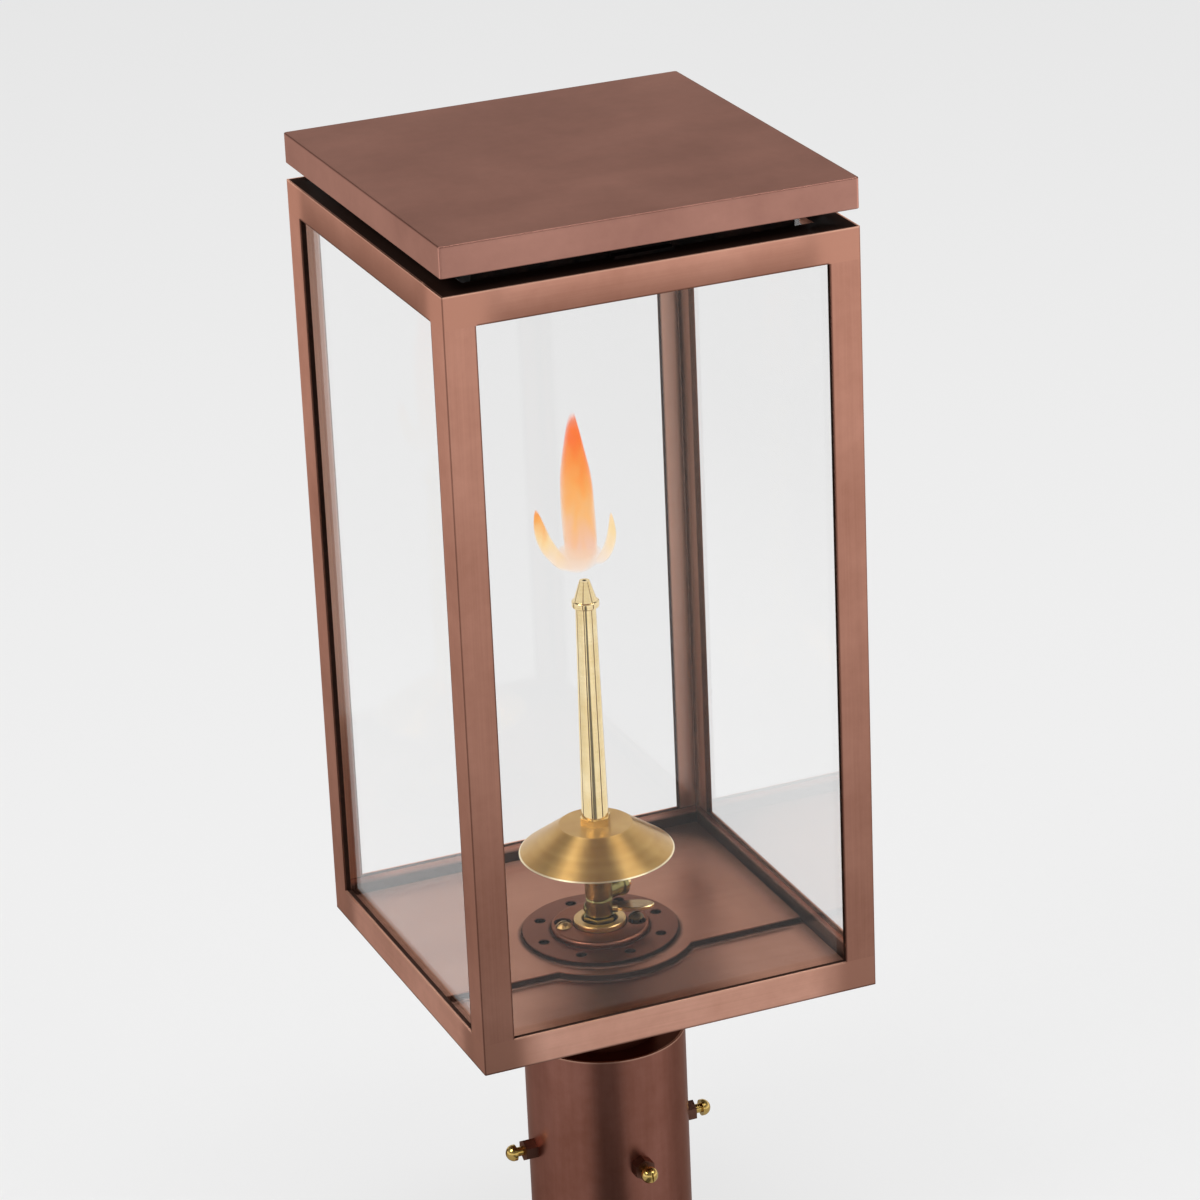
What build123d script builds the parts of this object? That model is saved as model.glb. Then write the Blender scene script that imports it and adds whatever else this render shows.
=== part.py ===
"""Post-top gas lantern: copper frame and roof, glass panes, brass gas burner and a collar for a post.

Millimetres. The origin is on the post's axis at the collar's lower mouth, +Z is up
and the front face looks to -Y.
"""

import os

from build123d import *

# Clearances
SEAT_GAP = 0.1  # between pieces that rest on each other and still move
BORE_GAP = 0.05  # radial, between a shank and its hole
TAPER_GAP = 0.03  # radial, between the tapered plug and its seat
GLASS_GAP = 0.2  # round the edges and faces of the panes

# Post collar, for a round post of 76.2 mm
POST_BORE_RADIUS = 39.9
COLLAR_WALL = 1.9
COLLAR_LENGTH = 114.0
CAP_THICKNESS = 3.0
CAP_RECESS = 2.0  # cap's top face below the collar's rim
CAP_LEDGE = 0.6  # step in the collar's wall that carries the cap

# Set screws and the nuts fixed on the collar
SET_SCREW_HEIGHT = 52.5
SET_SCREW_RADIUS = 2.45
SET_SCREW_TIP_SETBACK = 0.2  # tip outside the collar's bore at rest
SET_SCREW_FREE_SHANK = 4.3  # between the nut and the head at rest
SET_SCREW_HEAD_RADIUS = 4.3
SET_SCREW_HEAD_LENGTH = 5.2
COLLAR_NUT_FLATS = 10.0
COLLAR_NUT_LENGTH = 6.2

# Neck between the collar and the lantern's floor
NECK_WALL = 1.6
NECK_GAP = 46.0  # from the collar's rim to the frame's underside

# Frame of copper angle
FRAME_WIDTH = 210.0
FRAME_HEIGHT = 396.0
BAR_WIDTH = 16.0
BAR_WALL = 3.2
EDGE_ROUND = 0.6

# Glass and its clips
GLASS_WALL = 3.0
CLIP_WIDTH = 12.0
CLIP_WALL = 1.0
CLIP_LEG = 8.0
CLIP_OFFSET = 60.0  # from the middle of each side

# Roof
ROOF_HEIGHT = 15.4
ROOF_WALL = 1.6
ROOF_CORNER_ROUND = 1.5
VENT_GAP = 8.5
BRACKET_WIDTH = 30.0
BRACKET_WALL = 1.6
BRACKET_FOOT = 5.0
BRACKET_FLANGE = 4.0
BRACKET_TONGUE = 12.0  # reaches down inside the top rails
BAFFLE_WALL = 1.2
BAFFLE_RAIL_GAP = 7.0  # air way between the baffle and the top rails
BAFFLE_DROP = 10.0  # below the frame's top

# Floor
PAN_WALL = 1.6
STRAP_WALL = 3.2
STRAP_FRONT = 32.3  # step in front of the lamp's axis; the strap runs on to the back rail
STRAP_MIDDLE_RADIUS = 48.5
STRAP_END_GAP = 1.2
AIR_RING_RIM = 4.55  # outside the air holes
AIR_RING_BORE_RADIUS = 15.0
AIR_RING_WALL = 2.4
AIR_HOLE_RADIUS = 2.95
AIR_HOLE_PLATE_GAP = 4.25  # between the burner plate and the air holes
AIR_HOLE_NECK_GAP = 2.25  # between the neck and the air holes
AIR_HOLE_COUNT = 8
AIR_HOLE_START = 5.0  # degrees from +X

# Burner plate with its keyholes and screws
PLATE_RIM = 1.5  # outside the keyholes
PLATE_WALL = 3.0
PLATE_ROUND = 1.6
LOCK_HEAD_GAP = 1.5  # between the screw heads and the seat ring
LOCK_ANGLE = -10.4  # degrees from +X, first screw
LOCK_TWIST = 14.0  # degrees from locked to free
LOCK_SCREW_RADIUS = 2.0
LOCK_SCREW_HEAD_RADIUS = 4.1
LOCK_SCREW_HEAD_HEIGHT = 2.6
KEYHOLE_GAP = 0.5  # round the shank in the slot, and round the head in the wide end
SLOT_WIDTH = 1.0
SLOT_DEPTH = 1.2

# Gas cock
SEAT_RING_WALL = 4.24
SEAT_RING_HEIGHT = 2.6
SEAT_RING_CHAMFER = 0.5
FOOT_FLATS = 15.0
FOOT_HEIGHT = 4.4
FOOT_CORNER_GAP = 0.4  # between the foot's corners and the seat ring
SHANK_RADIUS = 6.6
SHANK_LENGTH = 22.0
BACK_NUT_FLATS = 20.0
BACK_NUT_LENGTH = 5.0
BARREL_RADIUS = 7.4
BARREL_ROUND = 1.6
BARREL_RISE = 7.0  # above the key's axis
BARREL_FLAT_DEPTH = 0.8  # of the flats for the key and its tail washer
STEM_RADIUS = 7.0
STEM_LENGTH = 54.2  # from the burner plate to the disc
SHOULDER_RADIUS = 9.0
SHOULDER_HEIGHT = 3.6
NIPPLE_RADIUS = 4.4
NIPPLE_LENGTH = 14.0
GAS_BORE_RADIUS = 1.9

# Key of the gas cock: tapered plug and thumb leaf
LEAF_CLEARANCE = 0.3  # between the turned leaf and the burner screws
KEY_ANGLE = -21.0  # degrees from +X
PLUG_BIG_RADIUS = 3.2
PLUG_SMALL_RADIUS = 2.5
KEY_HUB_RADIUS = 2.9
KEY_HUB_LENGTH = 2.6
LEAF_LENGTH = 21.0
LEAF_WIDTH = 10.0
LEAF_WALL = 2.2
LEAF_CHAMFER = 0.5
LEAF_OVERLAP = 2.3  # of the leaf on its hub
TAIL_WASHER_RADIUS = 3.3
TAIL_WASHER_WALL = 0.5
TAIL_SCREW_RADIUS = 1.3
TAIL_SCREW_LENGTH = 4.4
TAIL_HEAD_RADIUS = 2.6
TAIL_HEAD_HEIGHT = 1.0

# Flow screw in the cock's side boss
FLOW_ABOVE_KEY = 8.0
FLOW_ANGLE = 20.0  # degrees from +X
BOSS_RADIUS = 5.3
BOSS_LENGTH = 16.0
BOSS_RIM_RADIUS = 6.1
BOSS_RIM_WALL = 2.2
FLOW_SCREW_RADIUS = 2.5
FLOW_SCREW_DEPTH = 7.5
FLOW_NEEDLE_RADIUS = 1.0
FLOW_NEEDLE_LENGTH = 2.5
FLOW_HEAD_RADIUS = 3.6
FLOW_HEAD_HEIGHT = 3.3

# Gas inlet, a flare fitting under the floor
INLET_FLATS = 19.0
INLET_HEX_LENGTH = 16.0
INLET_RADIUS = 7.9
INLET_LENGTH = 14.0
INLET_FLARE_LENGTH = 3.4
INLET_BORE_RADIUS = 4.2

# Deflector disc
DISC_RADIUS = 39.5
DISC_FLAT_RADIUS = 18.6
DISC_DROP = 15.0
DISC_WALL = 1.2

# Burner tube, its nut and its tip
TUBE_NUT_FLATS = 14.0
TUBE_NUT_HEIGHT = 4.2
TUBE_BASE_RADIUS = 6.9
TUBE_TOP_RADIUS = 5.2
TUBE_LENGTH = 114.0
TUBE_BORE_RADIUS = 3.9
TIP_RING_RADIUS = 6.95
TIP_RING_HEIGHT = 3.6
TIP_RING_ROUND = 0.8
TIP_BASE_RADIUS = 5.9
TIP_TOP_RADIUS = 2.6
TIP_HEIGHT = 10.3
TIP_SPIGOT_LENGTH = 8.0
TIP_JET_RADIUS = 1.0

# Levels and reaches worked out from the sizes above
HALF_FRAME = FRAME_WIDTH / 2
SEAT_RING_BORE_RADIUS = FOOT_FLATS / 3**0.5 + FOOT_CORNER_GAP
SEAT_RING_RADIUS = SEAT_RING_BORE_RADIUS + SEAT_RING_WALL
LOCK_CIRCLE_RADIUS = SEAT_RING_RADIUS + LOCK_HEAD_GAP + LOCK_SCREW_HEAD_RADIUS
KEYHOLE_RADIUS = LOCK_SCREW_HEAD_RADIUS + KEYHOLE_GAP
PLATE_RADIUS = LOCK_CIRCLE_RADIUS + KEYHOLE_RADIUS + PLATE_RIM
AIR_HOLE_CIRCLE_RADIUS = PLATE_RADIUS + AIR_HOLE_PLATE_GAP + AIR_HOLE_RADIUS
AIR_RING_RADIUS = AIR_HOLE_CIRCLE_RADIUS + AIR_HOLE_RADIUS + AIR_RING_RIM
NECK_RADIUS = AIR_HOLE_CIRCLE_RADIUS - AIR_HOLE_RADIUS - AIR_HOLE_NECK_GAP
BARREL_FLAT = BARREL_RADIUS - BARREL_FLAT_DEPTH
COLLAR_RADIUS = POST_BORE_RADIUS + COLLAR_WALL
CAP_TOP = COLLAR_LENGTH - CAP_RECESS
CAP_BOTTOM = CAP_TOP - CAP_THICKNESS
FRAME_BOTTOM = COLLAR_LENGTH + NECK_GAP
FRAME_TOP = FRAME_BOTTOM + FRAME_HEIGHT
GLASS_OUTER = HALF_FRAME - BAR_WALL - GLASS_GAP
GLASS_INNER = GLASS_OUTER - GLASS_WALL
GLASS_BOTTOM = FRAME_BOTTOM + BAR_WALL
GLASS_TOP = FRAME_TOP - BAR_WALL - GLASS_GAP
ROOF_BOTTOM = FRAME_TOP + VENT_GAP
ROOF_TOP = ROOF_BOTTOM + ROOF_HEIGHT
ROOF_UNDERSIDE = ROOF_TOP - ROOF_WALL
PAN_BOTTOM = FRAME_BOTTOM + BAR_WALL
PAN_TOP = PAN_BOTTOM + PAN_WALL
PAN_HALF = GLASS_INNER - GLASS_GAP
STRAP_TOP = PAN_TOP + STRAP_WALL
RING_TOP = STRAP_TOP + AIR_RING_WALL
PLATE_BOTTOM = RING_TOP + SEAT_GAP
PLATE_TOP = PLATE_BOTTOM + PLATE_WALL
KEY_HEIGHT = PLATE_TOP + SEAT_GAP + LOCK_SCREW_HEAD_HEIGHT + LEAF_CLEARANCE + LEAF_WIDTH / 2
FLOW_HEIGHT = KEY_HEIGHT + FLOW_ABOVE_KEY
DISC_SEAT = PLATE_TOP + STEM_LENGTH
DISC_TOP = DISC_SEAT + DISC_WALL
TUBE_BOTTOM = DISC_TOP + TUBE_NUT_HEIGHT
TUBE_TOP = TUBE_BOTTOM + TUBE_LENGTH
NIPPLE_BORE_RADIUS = NIPPLE_RADIUS + BORE_GAP
SIDES = {"front": 0, "right": 90, "back": 180, "left": 270}
CORNERS = {"front_left": 0, "front_right": 90, "back_right": 180, "back_left": 270}


def rod(radius, length, bottom=0.0):
    """Upright cylinder that starts at a height."""
    return Pos(0, 0, bottom) * Cylinder(radius, length, align=(Align.CENTER, Align.CENTER, Align.MIN))


def tube(radius, bore_radius, length, bottom=0.0):
    """Upright tube that starts at a height."""
    return rod(radius, length, bottom) - rod(bore_radius, length, bottom)


def hexagon(flats, length, bottom=0.0):
    """Upright hexagonal bar, measured across its flats."""
    section = RegularPolygon(flats / 2, 6, major_radius=False)
    return Pos(0, 0, bottom) * extrude(section, length)


def turned(points):
    """Solid of revolution about Z from (radius, height) points."""
    outline = Polyline([(radius, 0, height) for radius, height in points], close=True)
    return revolve(make_face(outline), Axis.Z)


def block(low, high):
    """Box between two corners."""
    size = [b - a for a, b in zip(low, high)]
    middle = [(a + b) / 2 for a, b in zip(low, high)]
    return Pos(*middle) * Box(*size)


def outwards(angle, height):
    """Place whose Z axis runs level from the lamp's axis, at an angle from +X."""
    return Pos(0, 0, height) * Rot(0, 0, angle) * Rot(0, 90, 0)


def screw_slot(head_radius, head_top):
    """Cutter for a driver's slot across the top of a screw head."""
    return block(
        (-head_radius, -SLOT_WIDTH / 2, head_top - SLOT_DEPTH),
        (head_radius, SLOT_WIDTH / 2, head_top + SLOT_DEPTH),
    )


def dome(radius, height, bottom):
    """Round screw head: a ball's cap on a flat underside."""
    ball_radius = (radius**2 + height**2) / (2 * height)
    ball = Pos(0, 0, bottom + height - ball_radius) * Sphere(ball_radius)
    return ball & rod(radius, height, bottom)


# Frame
def frame_plan(bottom, height):
    """Prism of the frame's outline, with its corners eased."""
    outline = RectangleRounded(FRAME_WIDTH, FRAME_WIDTH, EDGE_ROUND)
    return Pos(0, 0, bottom) * extrude(outline, height)


def corner_post():
    """Angle bar in the front left corner, between the rails."""
    bottom = FRAME_BOTTOM + BAR_WIDTH
    length = FRAME_HEIGHT - 2 * BAR_WIDTH
    low = -HALF_FRAME
    solid = block((low, low, bottom), (low + BAR_WIDTH, low + BAR_WIDTH, bottom + length))
    inside = block((low + BAR_WALL, low + BAR_WALL, bottom), (0, 0, bottom + length))
    return (solid - inside) & frame_plan(bottom, length)


def front_rail(bottom, flange_bottom):
    """Angle bar across the front, mitred at both ends; its level leg starts at flange_bottom."""
    low = -HALF_FRAME
    upright = block((low, low, bottom), (-low, low + BAR_WALL, bottom + BAR_WIDTH))
    flange = block((low, low, flange_bottom), (-low, low + BAR_WIDTH, flange_bottom + BAR_WALL))
    outline = Polyline((low, low), (-low, low), (0, 0), close=True)
    mitre = Pos(0, 0, bottom) * extrude(make_face(outline), BAR_WIDTH)
    return (upright + flange) & mitre & frame_plan(bottom, BAR_WIDTH)


def side_pane(side):
    """Glass pane: the left and right ones run to the posts, the front and back ones fit between them."""
    half = GLASS_OUTER if side in ("left", "right") else GLASS_INNER - GLASS_GAP
    return block((-half, -GLASS_OUTER, GLASS_BOTTOM), (half, -GLASS_INNER, GLASS_TOP))


def glass_clip(offset):
    """Small angle under the front top rail, behind the pane."""
    face = -GLASS_INNER + GLASS_GAP
    top = FRAME_TOP - BAR_WALL
    near, far = offset - CLIP_WIDTH / 2, offset + CLIP_WIDTH / 2
    leg = block((near, face, top - CLIP_LEG), (far, face + CLIP_WALL, top))
    foot = block((near, face, top - CLIP_WALL), (far, -HALF_FRAME + BAR_WIDTH, top))
    return leg + foot


# Roof
def roof_lid():
    """Folded tray, open below."""
    size = FRAME_WIDTH
    outer = Pos(0, 0, ROOF_BOTTOM) * extrude(RectangleRounded(size, size, ROOF_CORNER_ROUND), ROOF_HEIGHT)
    outer = fillet(outer.faces().sort_by(Axis.Z)[-1].edges(), EDGE_ROUND)
    outer = fillet(outer.faces().sort_by(Axis.Z)[0].edges(), EDGE_ROUND)
    inside = size / 2 - ROOF_WALL
    return outer - block((-inside, -inside, ROOF_BOTTOM), (inside, inside, ROOF_UNDERSIDE))


def roof_bracket():
    """Strip at the front that hangs from the lid, stands on the top rail and reaches down inside it."""
    face = -HALF_FRAME + BAR_WIDTH + GLASS_GAP
    half = BRACKET_WIDTH / 2
    foot_bottom = FRAME_TOP + SEAT_GAP
    strip = block((-half, face, FRAME_TOP - BRACKET_TONGUE), (half, face + BRACKET_WALL, ROOF_UNDERSIDE))
    foot = block((-half, face - BRACKET_FOOT, foot_bottom), (half, face, foot_bottom + BRACKET_WALL))
    flange_end = face + BRACKET_WALL + BRACKET_FLANGE
    flange = block((-half, face, ROOF_UNDERSIDE - BRACKET_WALL), (half, flange_end, ROOF_UNDERSIDE))
    return strip + foot + flange


def roof_baffle():
    """Folded square band under the lid, which keeps wind and rain out of the vent gap."""
    half = HALF_FRAME - BAR_WIDTH - BAFFLE_RAIL_GAP
    bottom = FRAME_TOP - BAFFLE_DROP
    inside = half - BAFFLE_WALL
    band = block((-half, -half, bottom), (half, half, ROOF_UNDERSIDE))
    return band - block((-inside, -inside, bottom), (inside, inside, ROOF_UNDERSIDE))


# Floor
def air_holes():
    """Cutters for the ring of air holes, through the whole floor."""
    hole = rod(AIR_HOLE_RADIUS, RING_TOP - PAN_BOTTOM, PAN_BOTTOM)
    step = 360 / AIR_HOLE_COUNT
    spots = [Rot(0, 0, AIR_HOLE_START + step * i) for i in range(AIR_HOLE_COUNT)]
    return [spot * Pos(AIR_HOLE_CIRCLE_RADIUS, 0, 0) * hole for spot in spots]


def lock_places():
    """Places of the two screws that hold the burner plate."""
    return [Rot(0, 0, LOCK_ANGLE + turn) * Pos(LOCK_CIRCLE_RADIUS, 0, 0) for turn in (0, 180)]


def lock_screw_holes():
    """Cutters for the shanks of the burner plate's screws in the floor."""
    hole = rod(LOCK_SCREW_RADIUS + BORE_GAP, RING_TOP - STRAP_TOP, STRAP_TOP)
    return [place * hole for place in lock_places()]


def base_pan():
    """Floor plate on the bottom rails' level legs, with a hole for the neck."""
    plate = block((-PAN_HALF, -PAN_HALF, PAN_BOTTOM), (PAN_HALF, PAN_HALF, PAN_TOP))
    return plate - rod(NECK_RADIUS, PAN_WALL, PAN_BOTTOM) - air_holes()


def base_strap():
    """Broad strap over the back of the pan, with a round middle in its front edge."""
    half = PAN_HALF - STRAP_END_GAP
    strip = block((-half, -STRAP_FRONT, PAN_TOP), (half, half, STRAP_TOP))
    middle = rod(STRAP_MIDDLE_RADIUS, STRAP_WALL, PAN_TOP)
    return strip + middle - rod(NECK_RADIUS, STRAP_WALL, PAN_TOP) - air_holes()


def air_ring():
    """Round plate on the strap, with the air holes and the burner screws' holes."""
    plate = tube(AIR_RING_RADIUS, AIR_RING_BORE_RADIUS, AIR_RING_WALL, STRAP_TOP)
    return plate - air_holes() - lock_screw_holes()


# Burner
def burner_plate():
    """Raised round plate with two keyholes, so that it twists off its screws."""
    plate = rod(PLATE_RADIUS, PLATE_WALL, PLATE_BOTTOM)
    plate = fillet(plate.edges().sort_by(Axis.Z)[-1], PLATE_ROUND)
    narrow = LOCK_SCREW_RADIUS + KEYHOLE_GAP
    wide = rod(KEYHOLE_RADIUS, PLATE_WALL, PLATE_BOTTOM)
    ring = tube(LOCK_CIRCLE_RADIUS + narrow, LOCK_CIRCLE_RADIUS - narrow, PLATE_WALL, PLATE_BOTTOM)
    sector = Pos(0, 0, PLATE_BOTTOM) * extrude(slot_sector(), PLATE_WALL)
    for turn in (0, 180):
        locked = Rot(0, 0, LOCK_ANGLE + turn)
        free = Rot(0, 0, LOCK_ANGLE - LOCK_TWIST + turn)
        plate -= locked * Pos(LOCK_CIRCLE_RADIUS, 0, 0) * rod(narrow, PLATE_WALL, PLATE_BOTTOM)
        plate -= free * Pos(LOCK_CIRCLE_RADIUS, 0, 0) * wide
        plate -= free * (ring & sector)
    return plate - rod(SHANK_RADIUS + BORE_GAP, PLATE_WALL, PLATE_BOTTOM)


def slot_sector():
    """Wedge from +X through the twist, wide enough for the burner plate."""
    far = PLATE_RADIUS * 2
    start = Vector(far, 0)
    return make_face(Polyline(Vector(), start, start.rotate(Axis.Z, LOCK_TWIST), close=True))


def burner_screws():
    """The two slotted screws in the keyholes."""
    head_bottom = PLATE_TOP + SEAT_GAP
    shank = rod(LOCK_SCREW_RADIUS, head_bottom - STRAP_TOP, STRAP_TOP)
    head = dome(LOCK_SCREW_HEAD_RADIUS, LOCK_SCREW_HEAD_HEIGHT, head_bottom)
    head -= screw_slot(LOCK_SCREW_HEAD_RADIUS, head_bottom + LOCK_SCREW_HEAD_HEIGHT)
    return Compound([place * Rot(0, 0, -LOCK_ANGLE) * (shank + head) for place in lock_places()])


def seat_ring():
    """Brass ring round the gas cock's foot."""
    ring = tube(SEAT_RING_RADIUS, SEAT_RING_BORE_RADIUS, SEAT_RING_HEIGHT, PLATE_TOP)
    return chamfer(ring.faces().sort_by(Axis.Z)[-1].edges(), SEAT_RING_CHAMFER)


def valve_body():
    """Gas cock: hexagonal foot, barrel that seats the plug, side boss, stem, shoulder and nipple."""
    shank_bottom = PLATE_TOP - SHANK_LENGTH
    barrel_bottom = PLATE_TOP + FOOT_HEIGHT
    barrel_top = KEY_HEIGHT + BARREL_RISE
    body = hexagon(FOOT_FLATS, FOOT_HEIGHT, PLATE_TOP)
    body += rod(SHANK_RADIUS, SHANK_LENGTH, shank_bottom)
    barrel = rod(BARREL_RADIUS, barrel_top - barrel_bottom, barrel_bottom)
    barrel = fillet(barrel.edges().filter_by(GeomType.CIRCLE), BARREL_ROUND)
    body += barrel & key_flats()
    body += rod(STEM_RADIUS, DISC_SEAT - barrel_top, barrel_top)
    body += rod(SHOULDER_RADIUS, SHOULDER_HEIGHT, DISC_SEAT - SHOULDER_HEIGHT)
    body += rod(NIPPLE_RADIUS, NIPPLE_LENGTH, DISC_SEAT)
    boss = rod(BOSS_RADIUS, BOSS_LENGTH) + rod(BOSS_RIM_RADIUS, BOSS_RIM_WALL, BOSS_LENGTH - BOSS_RIM_WALL)
    body += outwards(FLOW_ANGLE, FLOW_HEIGHT) * boss
    body -= rod(GAS_BORE_RADIUS, DISC_SEAT + NIPPLE_LENGTH - shank_bottom, shank_bottom)
    needle_way = rod(FLOW_NEEDLE_RADIUS + BORE_GAP, BOSS_LENGTH)
    screw_way = rod(FLOW_SCREW_RADIUS + BORE_GAP, FLOW_SCREW_DEPTH, BOSS_LENGTH - FLOW_SCREW_DEPTH)
    body -= outwards(FLOW_ANGLE, FLOW_HEIGHT) * (needle_way + screw_way)
    return body - outwards(KEY_ANGLE, KEY_HEIGHT) * plug_cone(TAPER_GAP)


def key_flats():
    """Slab that leaves the barrel flat where the key's shoulder and the tail washer bear."""
    wide = 2 * BARREL_RADIUS
    slab = block((-BARREL_FLAT, -wide, -wide), (BARREL_FLAT, wide, wide))
    return Pos(0, 0, KEY_HEIGHT) * Rot(0, 0, KEY_ANGLE) * slab


def plug_cone(gap):
    """Tapered plug along Z through the barrel, grown by a gap."""
    return turned(
        [
            (0, -BARREL_FLAT),
            (PLUG_SMALL_RADIUS + gap, -BARREL_FLAT),
            (PLUG_BIG_RADIUS + gap, BARREL_FLAT),
            (0, BARREL_FLAT),
        ]
    )


def valve_key():
    """Tapered plug with its gas port, hub and oval thumb leaf; the leaf lies level with the port open."""
    hub_bottom = BARREL_FLAT + SEAT_GAP
    hub_top = hub_bottom + KEY_HUB_LENGTH
    key = plug_cone(0) + rod(PLUG_BIG_RADIUS - TAPER_GAP, SEAT_GAP, BARREL_FLAT)
    key += rod(PLUG_SMALL_RADIUS - TAPER_GAP, SEAT_GAP, -hub_bottom)
    key += rod(KEY_HUB_RADIUS, KEY_HUB_LENGTH, hub_bottom)
    oval = extrude(Ellipse(LEAF_WIDTH / 2, LEAF_LENGTH / 2), LEAF_WALL / 2, both=True)
    oval = chamfer(oval.edges(), LEAF_CHAMFER)
    key += Pos(0, 0, hub_top - LEAF_OVERLAP + LEAF_LENGTH / 2) * Rot(0, 0, 90) * Rot(90, 0, 0) * oval
    key -= Rot(0, 90, 0) * Cylinder(GAS_BORE_RADIUS, 2 * BARREL_RADIUS)
    key -= rod(TAIL_SCREW_RADIUS + BORE_GAP, TAIL_SCREW_LENGTH, -hub_bottom)
    return outwards(KEY_ANGLE, KEY_HEIGHT) * key


def key_washer():
    """Washer under the key's tail screw."""
    top = -BARREL_FLAT - SEAT_GAP
    washer = tube(TAIL_WASHER_RADIUS, TAIL_SCREW_RADIUS + BORE_GAP, TAIL_WASHER_WALL, top - TAIL_WASHER_WALL)
    return outwards(KEY_ANGLE, KEY_HEIGHT) * washer


def key_screw():
    """Slotted screw in the plug's tail, which draws the plug into its seat."""
    head_top = -BARREL_FLAT - SEAT_GAP - TAIL_WASHER_WALL
    shank = rod(TAIL_SCREW_RADIUS, TAIL_SCREW_LENGTH, head_top)
    head = Rot(180, 0, 0) * dome(TAIL_HEAD_RADIUS, TAIL_HEAD_HEIGHT, -head_top)
    return outwards(KEY_ANGLE, KEY_HEIGHT) * (shank + head)


def flow_screw():
    """Slotted needle screw in the side boss, which sets the flame."""
    head_bottom = BOSS_LENGTH + SEAT_GAP
    bottom = BOSS_LENGTH - FLOW_SCREW_DEPTH + SEAT_GAP
    screw = rod(FLOW_SCREW_RADIUS, head_bottom - bottom, bottom)
    screw += rod(FLOW_NEEDLE_RADIUS, FLOW_NEEDLE_LENGTH, bottom - FLOW_NEEDLE_LENGTH)
    screw += rod(FLOW_HEAD_RADIUS, FLOW_HEAD_HEIGHT, head_bottom)
    screw -= screw_slot(FLOW_HEAD_RADIUS, head_bottom + FLOW_HEAD_HEIGHT)
    return outwards(FLOW_ANGLE, FLOW_HEIGHT) * screw


def back_nut():
    """Nut that clamps the gas cock to the burner plate from below."""
    bottom = PLATE_BOTTOM - BACK_NUT_LENGTH
    hole = rod(SHANK_RADIUS + BORE_GAP, BACK_NUT_LENGTH, bottom)
    return hexagon(BACK_NUT_FLATS, BACK_NUT_LENGTH, bottom) - hole


def inlet_fitting():
    """Flare fitting on the cock's shank: hexagon, threaded stub and flare cone."""
    shank_bottom = PLATE_TOP - SHANK_LENGTH
    hex_top = PLATE_BOTTOM - BACK_NUT_LENGTH
    hex_bottom = hex_top - INLET_HEX_LENGTH
    stub_bottom = hex_bottom - INLET_LENGTH
    fitting = hexagon(INLET_FLATS, INLET_HEX_LENGTH, hex_bottom)
    fitting += rod(INLET_RADIUS, INLET_LENGTH, stub_bottom)
    flare_end = stub_bottom - INLET_FLARE_LENGTH
    fitting += turned(
        [
            (0, stub_bottom),
            (INLET_RADIUS, stub_bottom),
            (INLET_RADIUS - INLET_FLARE_LENGTH, flare_end),
            (0, flare_end),
        ]
    )
    fitting -= rod(INLET_BORE_RADIUS, hex_top - flare_end, flare_end)
    return fitting - rod(SHANK_RADIUS + BORE_GAP, hex_top - shank_bottom + SEAT_GAP, shank_bottom - SEAT_GAP)


def deflector_disc():
    """Spun cone with a flat middle, which shields the cock from the flame's heat."""
    rim = DISC_TOP - DISC_DROP
    return turned(
        [
            (NIPPLE_BORE_RADIUS, DISC_SEAT),
            (DISC_FLAT_RADIUS, DISC_SEAT),
            (DISC_RADIUS - DISC_WALL, rim),
            (DISC_RADIUS, rim),
            (DISC_FLAT_RADIUS, DISC_TOP),
            (NIPPLE_BORE_RADIUS, DISC_TOP),
        ]
    )


def tube_nut():
    """Nut on the nipple, which clamps the disc to the shoulder."""
    hole = rod(NIPPLE_BORE_RADIUS, TUBE_NUT_HEIGHT, DISC_TOP)
    return hexagon(TUBE_NUT_FLATS, TUBE_NUT_HEIGHT, DISC_TOP) - hole


def burner_tube():
    """Tapered tube that carries the gas up to the tip."""
    shank_top = DISC_SEAT + NIPPLE_LENGTH + SEAT_GAP
    return turned(
        [
            (NIPPLE_BORE_RADIUS, TUBE_BOTTOM),
            (TUBE_BASE_RADIUS, TUBE_BOTTOM),
            (TUBE_TOP_RADIUS, TUBE_TOP),
            (TUBE_BORE_RADIUS, TUBE_TOP),
            (TUBE_BORE_RADIUS, shank_top),
            (NIPPLE_BORE_RADIUS, shank_top),
        ]
    )


def burner_tip():
    """Tip with a round ring and a cone, plugged into the tube."""
    ring = rod(TIP_RING_RADIUS, TIP_RING_HEIGHT, TUBE_TOP)
    ring = fillet(ring.edges().filter_by(GeomType.CIRCLE), TIP_RING_ROUND)
    cone_bottom = TUBE_TOP + TIP_RING_HEIGHT
    cone_top = cone_bottom + TIP_HEIGHT
    cone = turned(
        [
            (0, cone_bottom),
            (TIP_BASE_RADIUS, cone_bottom),
            (TIP_TOP_RADIUS, cone_top),
            (0, cone_top),
        ]
    )
    spigot_bottom = TUBE_TOP - TIP_SPIGOT_LENGTH
    tip = ring + cone + rod(TUBE_BORE_RADIUS - BORE_GAP, TIP_SPIGOT_LENGTH, spigot_bottom)
    return tip - rod(TIP_JET_RADIUS, cone_top - spigot_bottom, spigot_bottom)


# Post fitting
def set_screw_holes():
    """Cutters for the set screws through the collar and its nuts."""
    reach = COLLAR_RADIUS + COLLAR_NUT_LENGTH
    hole = rod(SET_SCREW_RADIUS + BORE_GAP, reach)
    return [outwards(angle - 90, SET_SCREW_HEIGHT) * hole for angle in SIDES.values()]


def post_collar():
    """Tube that slips over the post, with a ledge for the cap near its rim."""
    collar = tube(COLLAR_RADIUS, POST_BORE_RADIUS, COLLAR_LENGTH)
    collar -= rod(POST_BORE_RADIUS + CAP_LEDGE, COLLAR_LENGTH - CAP_BOTTOM, CAP_BOTTOM)
    return collar - set_screw_holes()


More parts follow.
